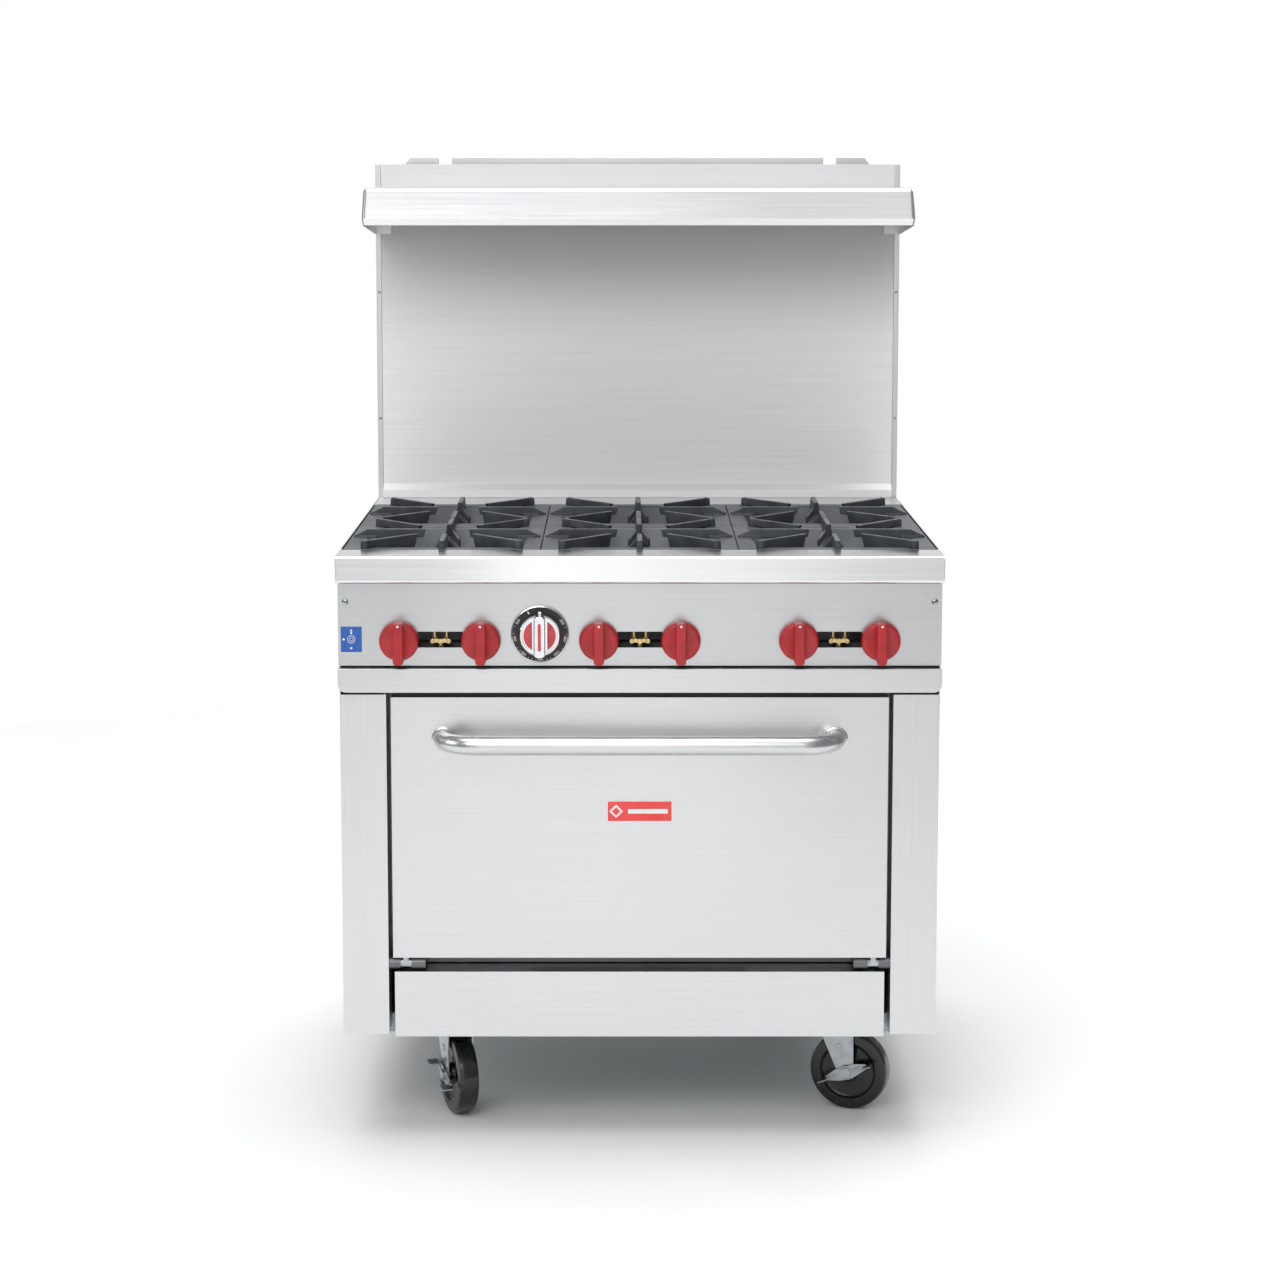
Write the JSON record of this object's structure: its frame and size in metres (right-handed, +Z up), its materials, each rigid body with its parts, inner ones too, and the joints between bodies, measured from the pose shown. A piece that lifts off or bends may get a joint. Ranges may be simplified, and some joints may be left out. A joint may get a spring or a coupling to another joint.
{
  "type": "freestanding gas range",
  "caption": "Commercial gas range with open burners under square cast grates, drop-down oven door, crumb tray, back riser with high shelf, and casters.",
  "frame": {"origin": "on the floor, under the middle of the range's width and depth", "axes": "+Z up, -Y out of the front, +X to the right of someone who faces the front"},
  "size_m": [0.914, 0.865, 1.518],
  "materials": {
    "stainless": "brushed stainless sheet",
    "galvanised": "dull galvanised sheet",
    "cast_iron": "matt cast iron",
    "enamel": "glossy enamelled steel",
    "red_plastic": "glossy red moulded plastic",
    "chrome": "bright chrome plating",
    "dial_black": "black printed dial plate with a bright rim",
    "brass": "machined brass",
    "zinc": "bright zinc plated steel",
    "tyre": "black moulded wheel"
  },
  "bodies": {
    "range": {"base_frame": "galvanised", "side_panel_left": "stainless", "side_panel_right": "stainless", "rear_panel": "galvanised", "kick_panel": "stainless", "oven_liner": "enamel", "oven_rack": "chrome", "oven_burner": "galvanised", "oven_front_frame": "galvanised", "centre_rail": "galvanised", "rear_deck": "stainless", "front_ledge": "stainless", "control_panel": "stainless", "riser_front_panel": "stainless", "riser_back_panel": "stainless", "riser_side_left": "stainless", "riser_side_right": "stainless", "shelf": "stainless", "shelf_bracket_left": "galvanised", "shelf_bracket_right": "galvanised", "gas_manifold": "zinc", "pilot_valve_1": "brass", "pilot_valve_2": "brass", "pilot_valve_3": "brass", "burner_1": "cast_iron", "burner_2": "cast_iron", "burner_3": "cast_iron", "burner_4": "cast_iron", "burner_5": "cast_iron", "burner_6": "cast_iron", "thermostat_bezel": "dial_black"},
    "door": {"door_outer_panel": "stainless", "door_inner_panel": "galvanised", "door_handle": "stainless", "door_hinge_left": "zinc", "door_hinge_right": "zinc"},
    "crumb_tray": {"crumb_tray": "stainless"},
    "grate_1": {"grate_1": "cast_iron"},
    "grate_2": {"grate_2": "cast_iron"},
    "grate_3": {"grate_3": "cast_iron"},
    "grate_4": {"grate_4": "cast_iron"},
    "grate_5": {"grate_5": "cast_iron"},
    "grate_6": {"grate_6": "cast_iron"},
    "knob_1": {"knob_1": "red_plastic"},
    "knob_2": {"knob_2": "red_plastic"},
    "knob_3": {"knob_3": "red_plastic"},
    "knob_4": {"knob_4": "red_plastic"},
    "knob_5": {"knob_5": "red_plastic"},
    "knob_6": {"knob_6": "red_plastic"},
    "thermostat_knob": {"thermostat_knob": "chrome"},
    "caster_fork_1": {"caster_fork_1": "zinc"},
    "caster_wheel_1": {"caster_wheel_1": "tyre"},
    "caster_brake_left": {"caster_brake_left": "zinc"},
    "caster_fork_2": {"caster_fork_2": "zinc"},
    "caster_wheel_2": {"caster_wheel_2": "tyre"},
    "caster_brake_right": {"caster_brake_right": "zinc"},
    "caster_fork_3": {"caster_fork_3": "zinc"},
    "caster_wheel_3": {"caster_wheel_3": "tyre"},
    "caster_fork_4": {"caster_fork_4": "zinc"},
    "caster_wheel_4": {"caster_wheel_4": "tyre"}
  },
  "joints": [
    {"name": "oven_door_hinge", "type": "hinge", "parent": "range", "child": "door", "pos_m": [0, -0.3515, 0.282], "axis": [1, 0, 0], "range_deg": [0, 90]},
    {"name": "crumb_tray_slide", "type": "slide", "parent": "range", "child": "crumb_tray", "axis": [0, -1, 0], "range_m": [0, 0.45]},
    {"name": "grate_1_lift", "type": "slide", "parent": "range", "child": "grate_1", "axis": [0, 0, 1], "range_m": [0, 0.12]},
    {"name": "grate_2_lift", "type": "slide", "parent": "range", "child": "grate_2", "axis": [0, 0, 1], "range_m": [0, 0.12]},
    {"name": "grate_3_lift", "type": "slide", "parent": "range", "child": "grate_3", "axis": [0, 0, 1], "range_m": [0, 0.12]},
    {"name": "grate_4_lift", "type": "slide", "parent": "range", "child": "grate_4", "axis": [0, 0, 1], "range_m": [0, 0.12]},
    {"name": "grate_5_lift", "type": "slide", "parent": "range", "child": "grate_5", "axis": [0, 0, 1], "range_m": [0, 0.12]},
    {"name": "grate_6_lift", "type": "slide", "parent": "range", "child": "grate_6", "axis": [0, 0, 1], "range_m": [0, 0.12]},
    {"name": "knob_1_turn", "type": "hinge", "parent": "range", "child": "knob_1", "pos_m": [-0.36433, -0.375, 0.79], "axis": [0, -1, 0], "range_deg": [0, 180]},
    {"name": "knob_2_turn", "type": "hinge", "parent": "range", "child": "knob_2", "pos_m": [-0.24033, -0.375, 0.79], "axis": [0, -1, 0], "range_deg": [0, 180]},
    {"name": "knob_3_turn", "type": "hinge", "parent": "range", "child": "knob_3", "pos_m": [-0.062, -0.375, 0.79], "axis": [0, -1, 0], "range_deg": [0, 180]},
    {"name": "knob_4_turn", "type": "hinge", "parent": "range", "child": "knob_4", "pos_m": [0.062, -0.375, 0.79], "axis": [0, -1, 0], "range_deg": [0, 180]},
    {"name": "knob_5_turn", "type": "hinge", "parent": "range", "child": "knob_5", "pos_m": [0.24033, -0.375, 0.79], "axis": [0, -1, 0], "range_deg": [0, 180]},
    {"name": "knob_6_turn", "type": "hinge", "parent": "range", "child": "knob_6", "pos_m": [0.36433, -0.375, 0.79], "axis": [0, -1, 0], "range_deg": [0, 180]},
    {"name": "thermostat_turn", "type": "hinge", "parent": "range", "child": "thermostat_knob", "pos_m": [-0.15117, -0.375, 0.8], "axis": [0, -1, 0], "range_deg": [-270, 0]},
    {"name": "caster_1_swivel", "type": "hinge", "parent": "range", "child": "caster_fork_1", "pos_m": [-0.302, -0.18, 0.15], "axis": [0, 0, 1], "continuous": true},
    {"name": "caster_1_roll", "type": "hinge", "parent": "caster_fork_1", "child": "caster_wheel_1", "pos_m": [-0.28832, -0.21759, 0.0635], "axis": [0.9397, 0.342, 0], "continuous": true},
    {"name": "brake_left_rock", "type": "hinge", "parent": "caster_fork_1", "child": "caster_brake_left", "pos_m": [-0.28832, -0.21759, 0.0635], "axis": [0.9397, 0.342, 0], "range_deg": [-12, 12]},
    {"name": "caster_2_swivel", "type": "hinge", "parent": "range", "child": "caster_fork_2", "pos_m": [0.302, -0.18, 0.15], "axis": [0, 0, 1], "continuous": true},
    {"name": "caster_2_roll", "type": "hinge", "parent": "caster_fork_2", "child": "caster_wheel_2", "pos_m": [0.33959, -0.19368, 0.0635], "axis": [0.342, 0.9397, 0], "continuous": true},
    {"name": "brake_right_rock", "type": "hinge", "parent": "caster_fork_2", "child": "caster_brake_right", "pos_m": [0.33959, -0.19368, 0.0635], "axis": [0.342, 0.9397, 0], "range_deg": [-12, 12]},
    {"name": "caster_3_swivel", "type": "hinge", "parent": "range", "child": "caster_fork_3", "pos_m": [-0.302, 0.27, 0.15], "axis": [0, 0, 1], "continuous": true},
    {"name": "caster_3_roll", "type": "hinge", "parent": "caster_fork_3", "child": "caster_wheel_3", "pos_m": [-0.282, 0.30464, 0.0635], "axis": [-0.866, 0.5, 0], "continuous": true},
    {"name": "caster_4_swivel", "type": "hinge", "parent": "range", "child": "caster_fork_4", "pos_m": [0.302, 0.27, 0.15], "axis": [0, 0, 1], "continuous": true},
    {"name": "caster_4_roll", "type": "hinge", "parent": "caster_fork_4", "child": "caster_wheel_4", "pos_m": [0.27629, 0.30064, 0.0635], "axis": [-0.766, -0.6428, 0], "continuous": true}
  ]
}
